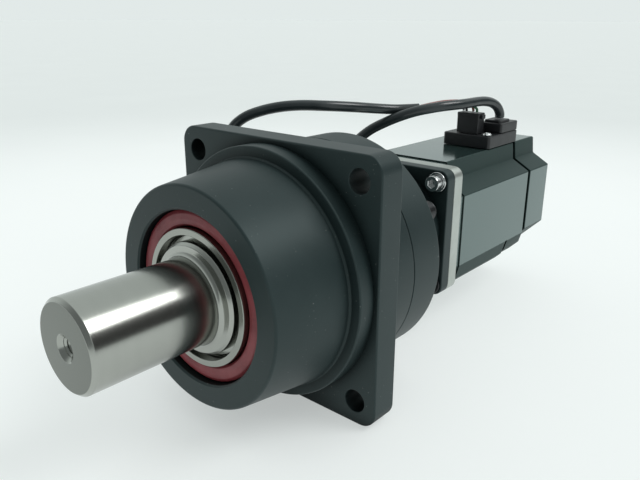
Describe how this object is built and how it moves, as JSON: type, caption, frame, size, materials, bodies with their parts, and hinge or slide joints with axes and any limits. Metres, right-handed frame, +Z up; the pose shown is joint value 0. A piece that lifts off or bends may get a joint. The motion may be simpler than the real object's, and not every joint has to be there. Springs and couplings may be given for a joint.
{
  "type": "inline gear reducer",
  "caption": "Inline epicyclic gear reducer with a square mounting flange, plain output shaft and red shaft seal, driven by an attached servo motor with two short cables.",
  "frame": {"origin": "under the middle of the whole unit's length, at the height of the mounting flange's lower edge, below the shaft axis", "axes": "+Y runs along the shaft axis towards the motor, so the output shaft points along -Y; +Z is up; +X is to the right seen from the output end"},
  "size_m": [0.1245, 0.283, 0.1102],
  "materials": {
    "case_paint": "matte, fine textured charcoal paint",
    "motor_paint": "semi-gloss dark grey paint",
    "seal_rubber": "matte brick red",
    "black_rubber": "satin black",
    "ground_steel": "fine ground and polished",
    "bearing_steel": "ground",
    "gear_steel": "machined and hardened",
    "black_screw": "black oxide",
    "bright_screw": "bright zinc plated",
    "aluminium": "machined, satin",
    "core_steel": "laminated electrical steel",
    "copper": "varnished copper wire",
    "board": "green circuit board",
    "black_plastic": "moulded black",
    "white_plastic": "moulded off-white",
    "lead_red": "thin insulated wire",
    "lead_white": "thin insulated wire",
    "lead_black": "thin insulated wire",
    "lead_green": "thin insulated wire"
  },
  "bodies": {
    "housing": {"gear_case": "case_paint", "oil_seal": "seal_rubber", "front_bearing_outer_race": "bearing_steel", "front_bearing_rollers": "gear_steel", "rear_bearing_outer_race": "bearing_steel", "rear_bearing_rollers": "gear_steel", "ring_gear": "case_paint", "adapter_housing": "case_paint", "access_plug": "black_rubber", "input_bearing": "bearing_steel", "case_screw_1": "black_screw", "case_screw_2": "black_screw", "case_screw_3": "black_screw", "case_screw_4": "black_screw", "motor_screw_1": "bright_screw", "motor_screw_2": "bright_screw", "motor_screw_3": "black_screw", "motor_screw_4": "black_screw", "motor_washer_1": "bright_screw", "motor_washer_2": "bright_screw", "motor_washer_3": "black_screw", "motor_washer_4": "black_screw", "motor_flange": "aluminium", "motor_front_bearing": "bearing_steel", "motor_housing": "motor_paint", "stator_core": "core_steel", "stator_winding": "copper", "motor_rear_bearing": "bearing_steel", "cover_gasket": "black_rubber", "encoder_cover": "motor_paint", "cover_screw_1": "black_screw", "cover_screw_2": "black_screw", "encoder_board": "board", "connector_base": "black_plastic", "base_screw_1": "bright_screw", "base_screw_2": "bright_screw", "power_plug": "black_plastic", "encoder_plug": "black_plastic", "encoder_cable": "black_rubber", "power_cable": "black_rubber", "lead_red": "lead_red", "lead_green": "lead_green", "lead_black": "lead_black", "lead_white": "lead_white", "power_connector": "white_plastic", "encoder_connector": "black_plastic"},
    "output": {"output_shaft": "ground_steel", "carrier_plate": "gear_steel", "front_bearing_inner_race": "bearing_steel", "rear_bearing_inner_race": "bearing_steel", "seal_sleeve": "bearing_steel"},
    "planet_1": {"planet_gear_1": "gear_steel"},
    "planet_2": {"planet_gear_2": "gear_steel"},
    "planet_3": {"planet_gear_3": "gear_steel"},
    "rotor": {"sun_gear_hub": "gear_steel", "clamp_screw": "black_screw", "motor_shaft": "ground_steel", "rotor_magnet": "core_steel", "encoder_disc": "aluminium"}
  },
  "joints": [
    {"name": "output_spin", "type": "hinge", "parent": "housing", "child": "output", "pos_m": [0, -0.0525, 0.052], "axis": [0, 1, 0], "continuous": true},
    {"name": "motor_spin", "type": "hinge", "parent": "housing", "child": "rotor", "pos_m": [0, 0.0725, 0.052], "axis": [0, 1, 0], "continuous": true},
    {"name": "planet_1_spin", "type": "hinge", "parent": "output", "child": "planet_1", "pos_m": [0, -0.032, 0.0745], "axis": [0, 1, 0], "continuous": true},
    {"name": "planet_2_spin", "type": "hinge", "parent": "output", "child": "planet_2", "pos_m": [-0.01949, -0.032, 0.04075], "axis": [0, 1, 0], "continuous": true},
    {"name": "planet_3_spin", "type": "hinge", "parent": "output", "child": "planet_3", "pos_m": [0.01949, -0.032, 0.04075], "axis": [0, 1, 0], "continuous": true}
  ],
  "couplings": [
    {"joint": "motor_spin", "follows": "output_spin", "ratio": 5},
    {"joint": "planet_1_spin", "follows": "output_spin", "ratio": -2.6667},
    {"joint": "planet_2_spin", "follows": "output_spin", "ratio": -2.6667},
    {"joint": "planet_3_spin", "follows": "output_spin", "ratio": -2.6667}
  ]
}
